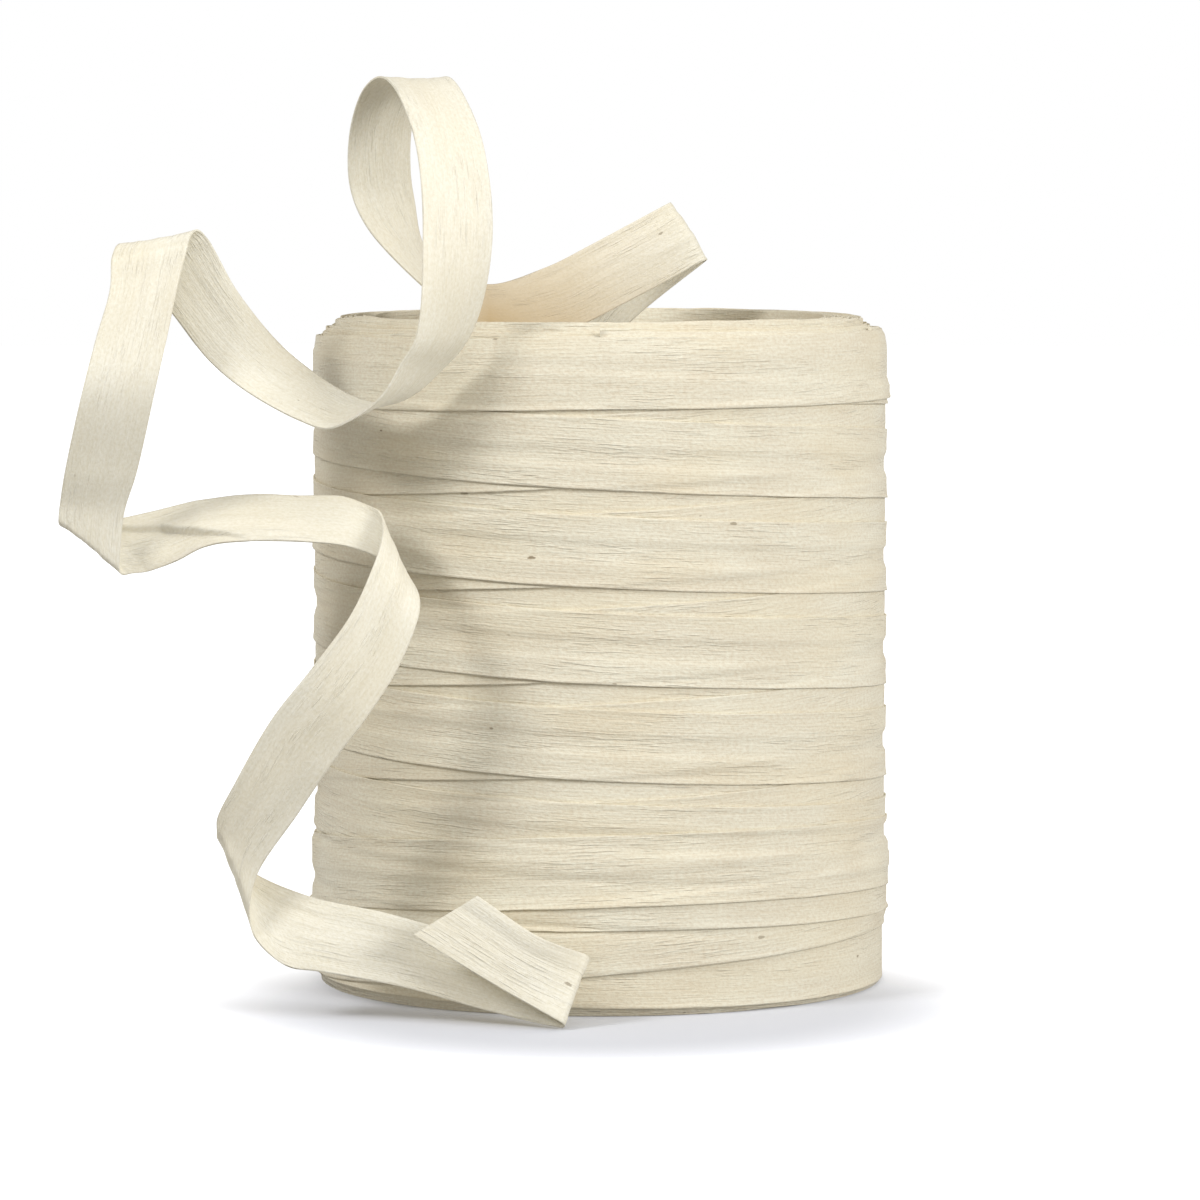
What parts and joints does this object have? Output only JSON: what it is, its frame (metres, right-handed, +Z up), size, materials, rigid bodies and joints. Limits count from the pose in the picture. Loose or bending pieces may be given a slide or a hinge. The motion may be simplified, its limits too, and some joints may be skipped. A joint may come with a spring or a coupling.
{
  "type": "roll of raffia ribbon",
  "caption": "Upright hollow roll of flat raffia ribbon whose loose inner end comes out of the hollow, loops over the rim and lies in folds beside and in front of the roll.",
  "frame": {"origin": "on the floor, in the middle of the footprint of roll and loose end", "axes": "+Z up along the roll's axis, -Y towards the side on which the loose end lies, +X to the right of someone who looks at that side"},
  "size_m": [0.1191, 0.0974, 0.1325],
  "materials": {
    "wound_ribbon": "unbleached raffia ribbon wound in overlapping layers, matt with a faint lengthwise sheen",
    "loose_ribbon": "single layer of unbleached raffia ribbon, matt, with fine lengthwise fibres and sparse flecks"
  },
  "bodies": {
    "root": {"wound_roll": "wound_ribbon", "loose_ribbon": "loose_ribbon"}
  },
  "joints": []
}
